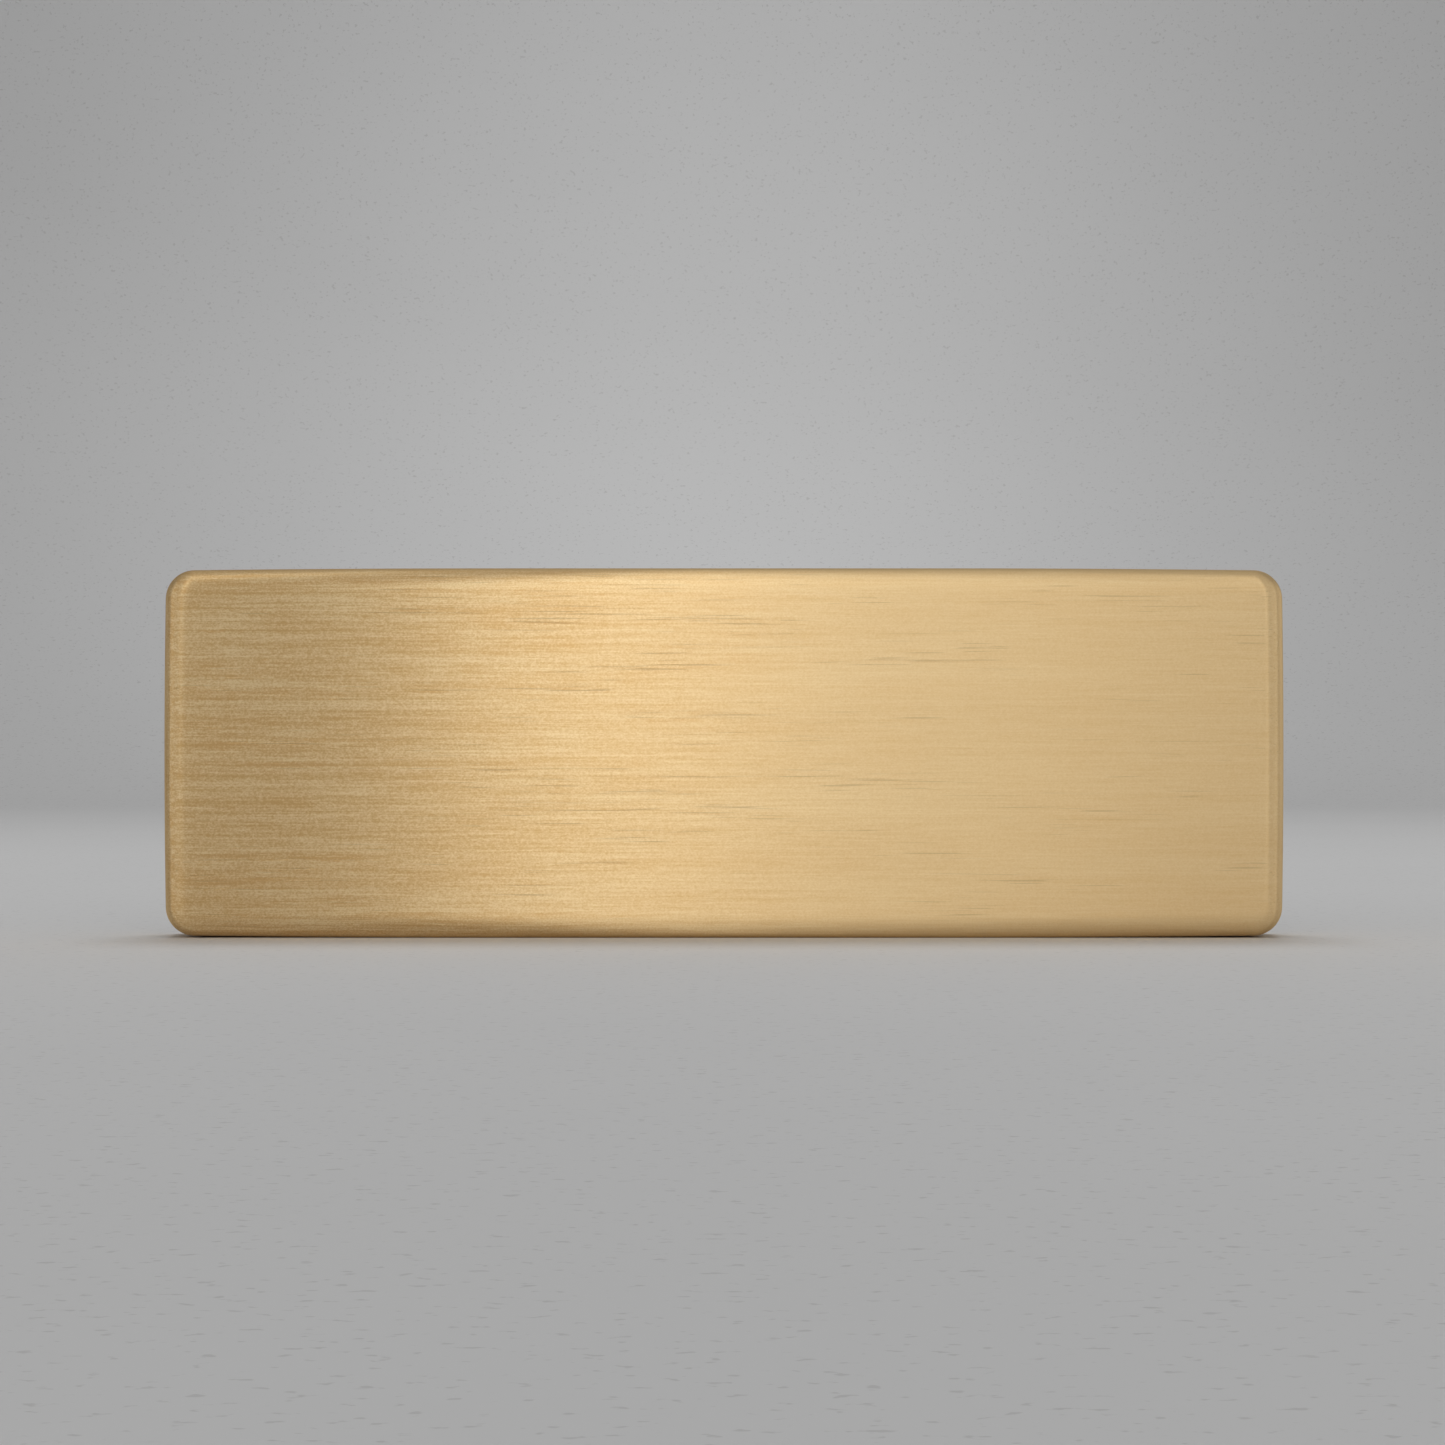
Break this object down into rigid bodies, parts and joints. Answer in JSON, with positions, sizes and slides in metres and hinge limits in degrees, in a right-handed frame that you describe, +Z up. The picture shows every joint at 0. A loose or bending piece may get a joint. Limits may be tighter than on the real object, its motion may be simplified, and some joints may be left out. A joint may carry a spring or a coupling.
{
  "type": "bar paperweight",
  "caption": "Rounded rectangular solid brass bar with a lengthwise brushed face, rolled rims and a thin felt pad let into its back, to hold paper still.",
  "frame": {"origin": "middle of the whole object in length and depth, on the surface that its long edge stands on", "axes": "+X along the bar's length, +Y out of the felt pad on the back, +Z up across the bar's height; the brushed show face looks along -Y"},
  "size_m": [0.1, 0.0104, 0.033],
  "materials": {
    "brushed_brass": "satin, brushed along the length, with softly buffed rims",
    "clear_adhesive": "translucent tacky film",
    "wool_felt": "pressed wool felt, matt"
  },
  "bodies": {
    "root": {"brass_bar": "brushed_brass", "adhesive_film": "clear_adhesive", "felt_pad": "wool_felt"}
  },
  "joints": []
}
